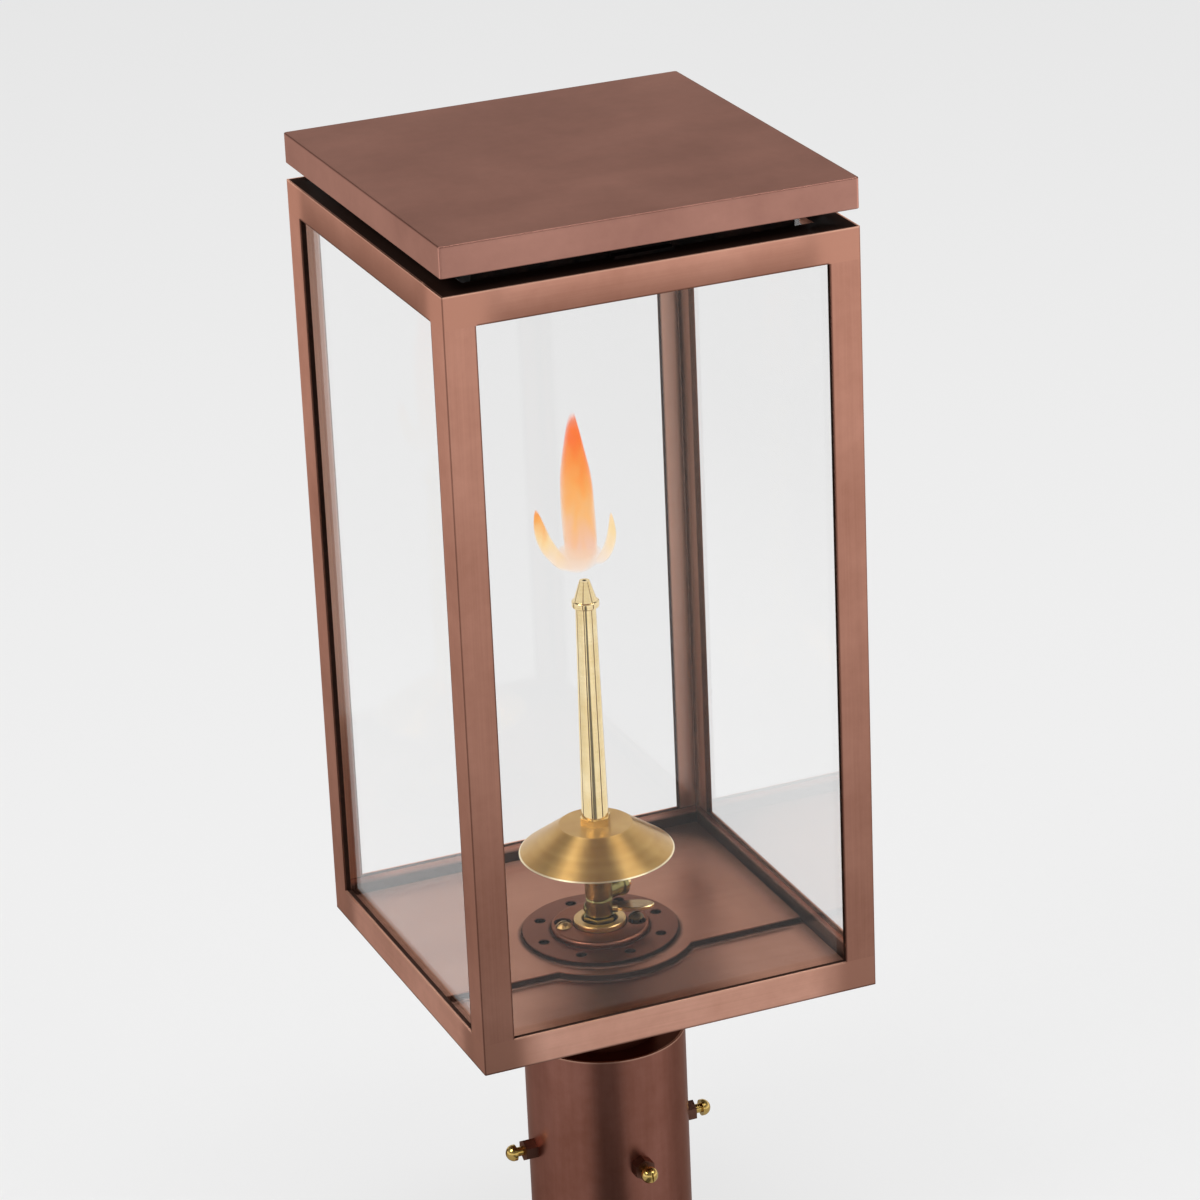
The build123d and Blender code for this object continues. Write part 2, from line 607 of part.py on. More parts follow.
def collar_cap():
    """Ring plate on the collar's ledge, which carries the neck and stops the post."""
    return tube(POST_BORE_RADIUS + CAP_LEDGE - BORE_GAP, NECK_RADIUS, CAP_THICKNESS, CAP_BOTTOM)


def neck_tube():
    """Tube from the collar cap up through the lantern's floor."""
    return tube(NECK_RADIUS, NECK_RADIUS - NECK_WALL, STRAP_TOP - CAP_BOTTOM, CAP_BOTTOM)


def collar_nuts():
    """The four nuts on the outside of the collar."""
    nut = hexagon(COLLAR_NUT_FLATS, COLLAR_NUT_LENGTH + COLLAR_WALL, POST_BORE_RADIUS)
    nuts = [outwards(angle - 90, SET_SCREW_HEIGHT) * nut for angle in SIDES.values()]
    core = rod(COLLAR_RADIUS, COLLAR_LENGTH)
    return Compound([solid - core - set_screw_holes() for solid in nuts])


def set_screw(angle):
    """Slotted round-head screw on one side of the collar."""
    tip = POST_BORE_RADIUS + SET_SCREW_TIP_SETBACK
    head_bottom = COLLAR_RADIUS + COLLAR_NUT_LENGTH + SET_SCREW_FREE_SHANK
    head = dome(SET_SCREW_HEAD_RADIUS, SET_SCREW_HEAD_LENGTH, head_bottom)
    head -= screw_slot(SET_SCREW_HEAD_RADIUS, head_bottom + SET_SCREW_HEAD_LENGTH)
    return outwards(angle - 90, SET_SCREW_HEIGHT) * (rod(SET_SCREW_RADIUS, head_bottom - tip, tip) + head)


def all_parts():
    """Every sub-part by its node name."""
    parts = {}
    post = corner_post()
    for corner, angle in CORNERS.items():
        parts[f"post_{corner}"] = Rot(0, 0, angle) * post
    top_rail = front_rail(FRAME_TOP - BAR_WIDTH, FRAME_TOP - BAR_WALL)
    bottom_rail = front_rail(FRAME_BOTTOM, FRAME_BOTTOM)
    bracket = roof_bracket()
    clips = []
    for side, angle in SIDES.items():
        turn = Rot(0, 0, angle)
        parts[f"top_rail_{side}"] = turn * top_rail
        parts[f"bottom_rail_{side}"] = turn * bottom_rail
        parts[f"pane_{side}"] = turn * side_pane(side)
        parts[f"roof_bracket_{side}"] = turn * bracket
        parts[f"set_screw_{side}"] = set_screw(angle)
        clips += [turn * glass_clip(offset) for offset in (-CLIP_OFFSET, CLIP_OFFSET)]
    parts["glass_clips"] = Compound(clips)
    for make in (
        roof_lid,
        roof_baffle,
        base_pan,
        base_strap,
        air_ring,
        burner_plate,
        burner_screws,
        seat_ring,
        valve_body,
        valve_key,
        key_washer,
        key_screw,
        flow_screw,
        back_nut,
        inlet_fitting,
        deflector_disc,
        tube_nut,
        burner_tube,
        burner_tip,
        neck_tube,
        collar_cap,
        post_collar,
        collar_nuts,
    ):
        parts[make.__name__] = make()
    return parts


os.makedirs("parts", exist_ok=True)
for node, shape in all_parts().items():
    export_step(shape, f"parts/{node}.step")
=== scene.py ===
"""Looks of the post-top gas lantern: copper, brass and glass finishes, the flame and the studio. Metres."""

import math

import bmesh
import bpy
from mathutils import Euler, Matrix, Vector


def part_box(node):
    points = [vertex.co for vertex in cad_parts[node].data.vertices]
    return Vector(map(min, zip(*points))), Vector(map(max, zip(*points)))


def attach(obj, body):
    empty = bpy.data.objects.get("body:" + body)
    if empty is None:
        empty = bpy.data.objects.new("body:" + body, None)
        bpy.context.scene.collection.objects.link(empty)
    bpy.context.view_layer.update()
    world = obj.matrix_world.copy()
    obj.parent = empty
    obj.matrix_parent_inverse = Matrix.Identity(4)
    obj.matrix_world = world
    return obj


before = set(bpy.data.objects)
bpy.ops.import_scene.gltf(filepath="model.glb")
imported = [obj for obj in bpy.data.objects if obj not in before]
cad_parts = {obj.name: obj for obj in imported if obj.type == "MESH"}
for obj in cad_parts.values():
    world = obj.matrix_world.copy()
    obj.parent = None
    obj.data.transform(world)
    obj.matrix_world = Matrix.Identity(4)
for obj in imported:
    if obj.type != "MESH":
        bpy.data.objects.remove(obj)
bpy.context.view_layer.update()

MM = 0.001
SIDES = ("front", "right", "back", "left")
CORNERS = ("front_left", "front_right", "back_right", "back_left")

# Levels and reaches of the lantern, read from its nodes
FRAME_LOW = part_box("bottom_rail_front")[0][2]
FRAME_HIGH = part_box("top_rail_front")[1][2]
FRAME_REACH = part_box("roof_lid")[1][0]
ROOF_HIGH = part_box("roof_lid")[1][2]
KEY_HEIGHT = (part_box("valve_key")[0][2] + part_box("valve_key")[1][2]) / 2
HIGH_PIECES = ("burner_tip", "post_collar", "base_strap", "air_ring")
TIP_TOP, COLLAR_RIM, STRAP_TOP, RING_TOP = (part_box(node)[1][2] for node in HIGH_PIECES)
PAN_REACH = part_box("base_pan")[1][0]
STRAP_ROUND = -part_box("base_strap")[0][1]
ROUND_PIECES = ("air_ring", "burner_plate", "seat_ring", "deflector_disc")
RING_RADIUS, PLATE_RADIUS, SEAT_RADIUS, DISC_RADIUS = (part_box(node)[1][0] for node in ROUND_PIECES)

# Sizes of the CAD model: the frame's angle bars, the strap's step and the lock screws' offset from the X axis
BAR_WIDTH, BAR_WALL = 16 * MM, 3.2 * MM
STRAP_STEP, SCREW_OFFSET = 32.3 * MM, 3.41 * MM
WALL_REACH, CLEAR_REACH = FRAME_REACH - BAR_WALL, FRAME_REACH - BAR_WIDTH


def linear(colour):
    """An sRGB hex colour as linear RGBA."""
    shares = [int(colour[i : i + 2], 16) / 255 for i in (1, 3, 5)]
    return tuple(s / 12.92 if s <= 0.04045 else ((s + 0.055) / 1.055) ** 2.4 for s in shares) + (1.0,)


def add(tree, kind, inputs=None, out=0, stops=(), **settings):
    """Adds a node with its settings, its inputs' values or links and a ramp's stops, and returns one output."""
    node = tree.nodes.new(kind)
    for name, value in settings.items():
        setattr(node, name, value)
    for key, value in (inputs or {}).items():
        if isinstance(value, bpy.types.NodeSocket):
            tree.links.new(value, node.inputs[key])
        else:
            node.inputs[key].default_value = value
    for i, (place, colour) in enumerate(stops):
        element = node.color_ramp.elements[i] if i < 2 else node.color_ramp.elements.new(place)
        element.position, element.color = place, colour
    return node.outputs[out] if len(node.outputs) else node


def calc(tree, operation, *values):
    """The result of one operation on values or links."""
    return add(tree, "ShaderNodeMath", dict(enumerate(values)), operation=operation)


def ramp(tree, value, start, stop, low=0.0, high=1.0, smooth=False):
    """A value's run from low at start to high at stop, even or smooth, which stays level beyond both."""
    reach = {0: value, 1: start, 2: stop, 3: low, 4: high}
    return add(tree, "ShaderNodeMapRange", reach, interpolation_type="SMOOTHSTEP" if smooth else "LINEAR")


def noise(tree, place, size, detail, **more):
    """Noise in patches about as wide as size."""
    return add(tree, "ShaderNodeTexNoise", {"Vector": place, "Scale": 1 / size, "Detail": detail, **more})


def new_material(name):
    """An empty node material and its tree."""
    material = bpy.data.materials.new(name)
    material.use_nodes = True
    material.node_tree.nodes.clear()
    return material, material.node_tree


def dress(nodes, material):
    """Gives CAD nodes a material in all their slots."""
    for name in nodes:
        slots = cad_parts[name].material_slots
        for slot in slots:
            slot.material = material
        if not slots:
            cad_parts[name].data.materials.append(material)


# Metals
# Tones of the marks: near black for patina and painted shade, dark for edges and painted shade, dull brown for
# painted shade low on the top rails, pale for rubbed edges and painted highlights, and the posts' tone
PATINA_AND_SHADE, EDGE_AND_SHADE, LOW_SHADE, RUBBED_AND_HIGHLIGHT, POST_TONE = "#140b08", "#3a1d16", "#6e4435", "#e9b9a0", "#b3806d"
# A brown for a painted dark reflection in the middle of the floor pan
DARK_REFLECTION = "#3f2015"


def corner_line(tree, at, share):
    """The thin upright line where two outer faces meet."""
    return ramp(tree, at["narrow"], FRAME_REACH - 0.8 * MM, FRAME_REACH - 0.3 * MM, high=share)


def in_wall(tree, at):
    """The edge faces of an angle bar's legs, within the thickness of its wall."""
    return ramp(tree, at["wide"], WALL_REACH, WALL_REACH + 0.2 * MM)


def rail_stains_and_shading(low, is_top):
    """Stains of a rail of the frame that starts at a low level.

    The upper edge is rubbed bright and painted brighter as a highlight, the lower edge is painted dark as shade, the
    outer edges and the inner faces' foot are dark, and the hidden faces are black. The top faces are black too, on a
    top rail as patina and as painted shade under the lid. Where the rail meets the posts, the solder is ground flush
    and shows no edge. A top rail is painted duller towards its lower edge as shade, and every rail's tone runs into
    the posts' at its ends.
    """
    high = low + BAR_WIDTH

    def stains_and_shading(tree, at):
        side = ramp(tree, at["wide"], FRAME_REACH - 1.1 * MM, FRAME_REACH - 0.2 * MM)
        between = ramp(tree, at["narrow"], CLEAR_REACH, CLEAR_REACH - 1 * MM)
        # The upper edge: rubbed bright and painted brighter as a highlight
        upper = ramp(tree, at["height"], high - 0.9 * MM, high - 0.1 * MM, high=0.65)
        # Painted shade along the lower edge
        lower = ramp(tree, at["height"], low + 1.0 * MM, low + 0.2 * MM, high=0.75)
        if is_top:
            lower = calc(tree, "MULTIPLY", lower, between)
            foot = ramp(tree, at["height"], low + 10 * MM, low + 5 * MM, high=0.85)
        else:
            upper = calc(tree, "MULTIPLY", upper, between)
            foot = ramp(tree, at["height"], low + 14 * MM, low + 11.5 * MM)
        upper = calc(tree, "MULTIPLY", upper, side)
        lower = calc(tree, "MULTIPLY", lower, side)
        lower = calc(tree, "MAXIMUM", lower, corner_line(tree, at, 0.6))
        inside = ramp(tree, at["wide"], FRAME_REACH - 0.6 * MM, FRAME_REACH - 1.2 * MM, high=0.97)
        # The top face: black with patina, and on a top rail painted black as the shade under the lid
        top = ramp(tree, at["height"], high - 0.5 * MM, high - 0.2 * MM)
        hidden = calc(tree, "MAXIMUM", top, foot)
        hidden = calc(tree, "MAXIMUM", hidden, in_wall(tree, at))
        hidden = calc(tree, "MULTIPLY", hidden, inside)
        near, far = FRAME_REACH - 14 * MM, FRAME_REACH - 36 * MM
        ends = ramp(tree, at["narrow"], near, far, 0.9, 0.0, smooth=True)
        shares = [(ends, POST_TONE), (upper, RUBBED_AND_HIGHLIGHT), (lower, EDGE_AND_SHADE), (hidden, PATINA_AND_SHADE)]
        if is_top:
            # Painted shade: a top rail darker towards its lower edge
            fade = ramp(tree, at["height"], high - 1 * MM, low + 2 * MM, high=0.55)
            middle = ramp(tree, at["narrow"], near, far, smooth=True)
            shares.insert(1, (calc(tree, "MULTIPLY", fade, middle), LOW_SHADE))
        return shares

    return stains_and_shading


def post_stains_and_sheen(tree, at):
    """Stains and painted light of a corner post: dark upright edges outside, black leg edges, and inner faces painted
    pale as a sheen but for the corner.
    """
    outer = corner_line(tree, at, 0.6)
    inner = ramp(tree, at["narrow"], CLEAR_REACH + 0.9 * MM, CLEAR_REACH + 0.2 * MM, high=0.7)
    inside = ramp(tree, at["wide"], FRAME_REACH - 0.3 * MM, FRAME_REACH - 1.0 * MM, high=0.92)
    groove = ramp(tree, at["narrow"], WALL_REACH - 6 * MM, WALL_REACH - 2.5 * MM, high=0.9, smooth=True)
    hidden = calc(tree, "MAXIMUM", in_wall(tree, at), groove)
    hidden = calc(tree, "MULTIPLY", inside, hidden)
    # A painted sheen that makes the inner faces paler
    pale = ramp(tree, at["wide"], WALL_REACH + 0.3 * MM, WALL_REACH + 0.1 * MM, high=0.5)
    return [(pale, RUBBED_AND_HIGHLIGHT), (outer, EDGE_AND_SHADE), (inner, EDGE_AND_SHADE), (hidden, PATINA_AND_SHADE)]


def lid_stains(tree, at):
    """Stains of the lid: a thin dark line along its folded edges and corners."""
    side = ramp(tree, at["wide"], FRAME_REACH - 1.0 * MM, FRAME_REACH - 0.3 * MM)
    top = ramp(tree, at["height"], ROOF_HIGH - 0.9 * MM, ROOF_HIGH - 0.3 * MM, high=0.45)
    fold = calc(tree, "MULTIPLY", side, top)
    return [(fold, EDGE_AND_SHADE), (corner_line(tree, at, 0.5), EDGE_AND_SHADE)]


def collar_highlight_and_shade(tree, at):
    """Painted light of the collar: a rim rubbed bright and painted brighter as a highlight, and a right side painted
    duller as shade.
    """
    # The rim: rubbed bright and painted brighter as a highlight
    rim = ramp(tree, at["height"], COLLAR_RIM - 1.0 * MM, COLLAR_RIM - 0.3 * MM, high=0.6)
    # Painted shade on the right side
    right = ramp(tree, at["right"], 12 * MM, 26 * MM, high=0.36, smooth=True)
    return [(right, EDGE_AND_SHADE), (rim, RUBBED_AND_HIGHLIGHT)]


def foot_shade(foot, spread):
    """Painted shade of a round floor plate: a dark contact shadow round the foot of the piece that stands on it."""

    def stains_and_shading(tree, at):
        ragged = calc(tree, "MULTIPLY_ADD", at["mottle"], spread * 0.5, foot + spread * 0.75)
        near = calc(tree, "SUBTRACT", ragged, at["radius"])
        # Painted contact shadow round the foot
        near = ramp(tree, near, -spread * 0.4, spread * 0.8, high=0.93, smooth=True)
        return [(near, PATINA_AND_SHADE)]

    return stains_and_shading


def strap_shade(tree, at):
    """Painted shade of the floor's back plate: dark along the rails and at the air ring, near black in the right
    corner.
    """
    ragged = calc(tree, "MULTIPLY_ADD", at["mottle"], 8 * MM, -4 * MM)
    # Painted shade along the rails
    rim = calc(tree, "ADD", at["wide"], ragged)
    rim = ramp(tree, rim, PAN_REACH - 12 * MM, PAN_REACH, high=0.6, smooth=True)
    right = ramp(tree, at["right"], 20 * MM, 70 * MM, high=0.96)
    # Painted shade, near black in the right corners
    corner = ramp(tree, at["radius"], 70 * MM, 124 * MM, high=right)
    # Painted shade on the plate's side walls
    edge = ramp(tree, at["height"], STRAP_TOP - 0.3 * MM, STRAP_TOP - 0.7 * MM, high=0.95)
    return [(rim, PATINA_AND_SHADE), (corner, PATINA_AND_SHADE), (edge, PATINA_AND_SHADE)] + foot_shade(RING_RADIUS, 2.5 * MM)(tree, at)


def pan_shade(tree, at):
    """Painted shade of the floor pan: a dark shadow line along the strap's step, dark along the front rail, and a
    painted dark brown reflection in the middle.
    """
    beside = calc(tree, "SUBTRACT", at["deep"], STRAP_STEP)
    round_middle = calc(tree, "SUBTRACT", at["radius"], STRAP_ROUND)
    apart = calc(tree, "MINIMUM", beside, round_middle)
    ragged = calc(tree, "MULTIPLY_ADD", at["mottle"], 2 * MM, -1 * MM)
    apart = calc(tree, "ADD", apart, ragged)
    # A painted shadow line along the strap's step
    step = ramp(tree, apart, 3.2 * MM, 0.8 * MM, high=0.95, smooth=True)
    rim = calc(tree, "ADD", at["wide"], ragged)
    # Painted shade along the front rail
    rim = ramp(tree, rim, PAN_REACH - 12 * MM, PAN_REACH, high=0.7, smooth=True)
    middle = calc(tree, "ABSOLUTE", at["right"])
    # A painted dark reflection in the middle
    middle = ramp(tree, middle, 60 * MM, 10 * MM, high=0.6, smooth=True)
    return [(middle, DARK_REFLECTION), (step, PATINA_AND_SHADE), (rim, PATINA_AND_SHADE)]


def ring_shade(tree, at):
    """Painted shade of the air ring: black in its holes and at its rim, and a dark contact shadow at the burner
    plate's foot.
    """
    # Painted shade in the holes and on the rim walls
    below = ramp(tree, at["height"], RING_TOP - 0.3 * MM, RING_TOP - 0.6 * MM, high=0.96)
    return [(below, PATINA_AND_SHADE)] + foot_shade(PLATE_RADIUS, 1.6 * MM)(tree, at)


# Least and most roughness of the copper
SATIN, SMOOTH = (0.36, 0.48), (0.28, 0.38)


def satin_copper(name, dark, light, streak, stains_and_shading=None, gleam=None, rough=SATIN):
    """Copper sheet that was chemically aged, then rubbed back with a pad along its length.

    The eye gets a warm brown pink with slow faint clouds, fine streaks along the rubbing, bright rubbed edges with
    painted highlights, and near black patina and painted shade in the recesses and corners. streak is a streak's
    length along X, Y and Z in mm. gleam is the axis round which the light is drawn out, across the rubbing: a rail's
    own axis, and Z on a post. rough is the least and most roughness.
    """
    material, tree = new_material(name)
    place = add(tree, "ShaderNodeTexCoord", out="Object")
    apart = add(tree, "ShaderNodeSeparateXYZ", {0: place}).node
    across, deep = (calc(tree, "ABSOLUTE", apart.outputs[i]) for i in (0, 1))
    flat = add(tree, "ShaderNodeVectorMath", {0: place, 1: (1.0, 1.0, 0.0)}, operation="MULTIPLY")
    clouds = noise(tree, place, 55 * MM, 2.0, Distortion=0.4)
    mottle = noise(tree, place, 7 * MM, 4.0, Roughness=0.6)
    # Rubbing marks are finer than a pixel, so they are drawn about 1 mm wide
    stretched = add(tree, "ShaderNodeMapping", {"Vector": place, "Scale": [1 / (length * MM) for length in streak]})
    marks = noise(tree, stretched, 1.0, 4.0, Roughness=0.65)
    aged = calc(tree, "MULTIPLY", clouds, 0.5)
    aged = calc(tree, "MULTIPLY_ADD", mottle, 0.2, aged)
    aged = calc(tree, "MULTIPLY_ADD", marks, 0.3, aged)
    colour = add(tree, "ShaderNodeValToRGB", {0: aged}, stops=[(0.32, linear(dark)), (0.68, linear(light))])
    rough = ramp(tree, marks, 0.0, 1.0, *rough)
    at = {
        "height": apart.outputs["Z"],
        "right": apart.outputs["X"],
        "deep": deep,
        "wide": calc(tree, "MAXIMUM", across, deep),
        "narrow": calc(tree, "MINIMUM", across, deep),
        "radius": add(tree, "ShaderNodeVectorMath", {0: flat}, out="Value", operation="LENGTH"),
        "mottle": mottle,
    }
    bare = 1.0
    for share, mark_tone in stains_and_shading(tree, at) if stains_and_shading else ():
        colour = add(tree, "ShaderNodeMix", {0: share, 6: colour, 7: linear(mark_tone)}, out=2, data_type="RGBA")
        # Patina and painted shade turn the copper matt and take away its metal
        if mark_tone == PATINA_AND_SHADE:
            rough = calc(tree, "MULTIPLY_ADD", share, 0.25, rough)
            bare = calc(tree, "MULTIPLY", calc(tree, "SUBTRACT", 1.0, share), bare)
    bump = add(tree, "ShaderNodeBump", {"Height": marks, "Strength": 0.05, "Distance": 0.2 * MM})
    finish = {"Base Color": colour, "Roughness": rough, "Metallic": bare, "Normal": bump}
    finish["Specular Tint"], finish["Specular IOR Level"] = linear("#e6d1c9"), 0.02
    if gleam:
        drawn = add(tree, "ShaderNodeTangent", direction_type="RADIAL", axis=gleam)
        if gleam != "Z":
            # The pad swings round at the corners, so a rail runs into its posts without a break
            upright = add(tree, "ShaderNodeTangent", direction_type="RADIAL", axis="Z")
            swing = ramp(tree, at["narrow"], FRAME_REACH - 36 * MM, FRAME_REACH - 10 * MM, smooth=True)
            drawn = add(tree, "ShaderNodeMix", {0: swing, 4: drawn, 5: upright}, out=1, data_type="VECTOR")
        finish["Anisotropic"], finish["Tangent"] = 0.7, drawn
    surface = add(tree, "ShaderNodeBsdfPrincipled", finish)
    add(tree, "ShaderNodeOutputMaterial", {"Surface": surface})
    return material


ALONG, ACROSS = 80, 1.2  # a rubbing mark's length and width in mm
RAIL_LEVELS = {"top": FRAME_HIGH - BAR_WIDTH, "bottom": FRAME_LOW}
# Dark and light tones of the rails along X and of those along Y: lit and shaded copies of one copper, with the top
# rails painted darker as shade, the bottom rails paler as lit, and the rails along Y darker than those along X
RAIL_LIT_AND_SHADED_TONES = {
    "top": (("#bb8470", "#d79f8a"), ("#a97663", "#c48f7b")),
    "bottom": (("#d69e88", "#f4bda8"), ("#cf9984", "#eeb7a2")),
}
for axis, sides in enumerate((("front", "back"), ("left", "right"))):
    streak = [ALONG if i == axis else ACROSS for i in range(3)]
    for rail, low in RAIL_LEVELS.items():
        finish = satin_copper(
            f"satin antique copper {rail} rails {'XY'[axis]}",
            *RAIL_LIT_AND_SHADED_TONES[rail][axis],
            streak,
            rail_stains_and_shading(low, rail == "top"),
            "XY"[axis],
        )
        dress([f"{rail}_rail_{side}" for side in sides], finish)
finish = satin_copper("satin antique copper posts", "#a57361", "#c08c79", (ACROSS, ACROSS, ALONG), post_stains_and_sheen, "Z")
dress([f"post_{corner}" for corner in CORNERS] + ["glass_clips"], finish)

# Other copper pieces: name of the finish, nodes, dark and light tone, streak, stains and painted light, and roughness
FLOOR_STREAK = (60, 4, 60)
# The burner plate gets a painted contact shadow round the seat ring's foot
plate_shade = foot_shade(SEAT_RADIUS, 1.0 * MM)
for name, nodes, dark, light, streak, stains_and_shading, rough in (
    ("satin antique copper roof", ["roof_lid"], "#966b5f", "#ae7f71", (120, 30, 30), lid_stains, (0.3, 0.38)),
    ("satin antique copper collar", ["post_collar"], "#8a5747", "#ac7668", (7, 7, 90), collar_highlight_and_shade, (0.27, 0.36)),
    ("dark antique copper nuts", ["collar_nuts"], "#5f4137", "#7d594c", (6, 6, 6), None, SATIN),
    # The neck and cap are painted darker as the shade under the lantern
    ("antique copper neck painted dark as shade", ["collar_cap", "neck_tube"], "#5a3226", "#7a4838", (60, 60, 4), None, SATIN),
    ("satin antique copper base pan", ["base_pan"], "#a07462", "#b68a77", FLOOR_STREAK, pan_shade, SMOOTH),
    ("satin antique copper base strap", ["base_strap"], "#9a6c5a", "#b0836f", FLOOR_STREAK, strap_shade, SMOOTH),
    ("satin antique copper air ring", ["air_ring"], "#654034", "#775044", FLOOR_STREAK, ring_shade, SMOOTH),
    ("satin antique copper burner plate", ["burner_plate"], "#6e4332", "#835441", FLOOR_STREAK, plate_shade, SMOOTH),
):
    dress(nodes, satin_copper(name, dark, light, streak, stains_and_shading, rough=rough))


def sooted_and_shaded_copper():
    """Copper that the flame's heat and soot have blackened, and painted near black as the shade under the lid: matt,
    with a brown show where soot has rubbed off.
    """
    material, tree = new_material("copper blackened by heat and soot")
    place = add(tree, "ShaderNodeTexCoord", out="Object")
    soot = noise(tree, place, 10 * MM, 4.0)
    # The near black is painted as the shade under the lid, over the soot
    colour = add(tree, "ShaderNodeValToRGB", {0: soot}, stops=[(0.4, linear("#0d0806")), (0.75, linear("#2c1811"))])
    rough = ramp(tree, soot, 0.0, 1.0, 0.8, 0.55)
    surface = add(tree, "ShaderNodeBsdfPrincipled", {"Base Color": colour, "Roughness": rough, "Metallic": 0.7})
    add(tree, "ShaderNodeOutputMaterial", {"Surface": surface})
    return material


dress(["roof_baffle"] + [f"roof_bracket_{side}" for side in SIDES], sooted_and_shaded_copper())


def turned_brass(name, dark, light, rough, ring, stains_and_shading=None, spun=False):
    """Brass turned on a lathe: fine faint rings round the lamp's axis, and slow changes of tone.

    Stains and painted light darken or brighten it in places. A spun sheet's rings draw the light out into a fan round
    the axis. ring is the width of a ring in mm.
    """
    material, tree = new_material(name)
    place = add(tree, "ShaderNodeTexCoord", out="Object")
    flat = add(tree, "ShaderNodeVectorMath", {0: place, 1: (1.0, 1.0, 0.0)}, operation="MULTIPLY")
    radius = add(tree, "ShaderNodeVectorMath", {0: flat}, out="Value", operation="LENGTH")
    apart = add(tree, "ShaderNodeSeparateXYZ", {0: place}).node
    height = apart.outputs["Z"]
    along = calc(tree, "ADD", radius, height)
    ringed = {"W": along, "Scale": 1 / (ring * MM), "Detail": 2.0}
    rings = add(tree, "ShaderNodeTexNoise", ringed, noise_dimensions="1D")
    clouds = noise(tree, place, 14 * MM, 3.0)
    mixed = calc(tree, "MULTIPLY", rings, 0.25)
    mixed = calc(tree, "MULTIPLY_ADD", clouds, 0.75, mixed)
    colour = add(tree, "ShaderNodeValToRGB", {0: mixed}, stops=[(0.35, linear(dark)), (0.68, linear(light))])
    at = {"right": apart.outputs["X"], "deep": apart.outputs["Y"], "height": height, "radius": radius}
    for share, mark_tone in stains_and_shading(tree, at) if stains_and_shading else ():
        colour = add(tree, "ShaderNodeMix", {0: share, 6: colour, 7: linear(mark_tone)}, out=2, data_type="RGBA")
    gloss = ramp(tree, rings, 0.0, 1.0, rough * 0.85, rough * 1.15)
    bump = add(tree, "ShaderNodeBump", {"Height": rings, "Strength": 0.006 if spun else 0.03, "Distance": 0.1 * MM})
    finish = {"Base Color": colour, "Roughness": gloss, "Metallic": 1.0, "Normal": bump}
    if spun:
        finish["Anisotropic"], finish["Anisotropic Rotation"] = 0.6, 0.25
        finish["Tangent"] = add(tree, "ShaderNodeTangent", direction_type="RADIAL", axis="Z")
    surface = add(tree, "ShaderNodeBsdfPrincipled", finish)
    add(tree, "ShaderNodeOutputMaterial", {"Surface": surface})
    return material


def leaf_dark_reflection(tree, at):
    """Painted reflection on the gas cock's key: the leaf's flat faces are painted dark as a dark reflection, its edge
    is rubbed bright.
    """
    level = calc(tree, "SUBTRACT", at["height"], KEY_HEIGHT)
    level = calc(tree, "ABSOLUTE", level)
    # Painted dark reflection on the flat faces
    flats = ramp(tree, level, 0.85 * MM, 1.05 * MM, high=0.8)
    return [(flats, "#74502c")]


def disc_rim_highlight(tree, at):
    """Painted highlight of the deflector disc: a bright line along its rim."""
    # A painted highlight along the rim
    rim = ramp(tree, at["radius"], DISC_RADIUS - 0.9 * MM, DISC_RADIUS - 0.5 * MM, high=0.9)
    return [(rim, "#fff2cf")]


def screw_slots_and_shade(tree, at):
    """Marks of the burner's lock screws: dark in their slots, which run along X, and the right one painted dark as
    the shade under the key's leaf.
    """
    beside = calc(tree, "ABSOLUTE", at["deep"])
    beside = calc(tree, "SUBTRACT", beside, SCREW_OFFSET)
    beside = calc(tree, "ABSOLUTE", beside)
    slot = ramp(tree, beside, 0.62 * MM, 0.45 * MM, high=0.92)
    # The right screw painted dark as the shade under the key's leaf
    under = ramp(tree, at["right"], -1 * MM, 1 * MM, high=0.85)
    return [(under, "#33261a"), (slot, "#1c130b")]


# Brass pieces: name of the finish, nodes, dark and light tone, roughness, ring, and stains and painted light
BURNER_BRASS = ["burner_tube", "burner_tip", "tube_nut", "flow_screw", "back_nut", "inlet_fitting"]
COCK_BRASS = ["valve_body", "key_washer", "key_screw"]
SET_SCREWS = [f"set_screw_{side}" for side in SIDES]
for name, nodes, dark, light, rough, ring, stains_and_shading in (
    ("polished brass", BURNER_BRASS, "#e6cb92", "#f6e3b6", 0.08, 0.8, None),
    ("brass of the set screws", SET_SCREWS, "#c29c4c", "#dfc078", 0.2, 0.8, None),
    ("satin brass of the seat ring", ["seat_ring"], "#bd955a", "#dab87c", 0.34, 1.2, None),
    ("satin brass of the lock screws", ["burner_screws"], "#a98652", "#cdaa74", 0.42, 1.2, screw_slots_and_shade),
    ("cast and polished brass of the gas cock", COCK_BRASS, "#847a4a", "#b5a873", 0.22, 2.5, None),
    ("polished brass of the gas cock's key", ["valve_key"], "#dcc184", "#f6e6bc", 0.24, 2.5, leaf_dark_reflection),
):
    dress(nodes, turned_brass(name, dark, light, rough, ring, stains_and_shading))
finish = turned_brass("satin spun brass", "#b98f4e", "#cca564", 0.34, 0.7, disc_rim_highlight, spun=True)
dress(["deflector_disc"], finish)


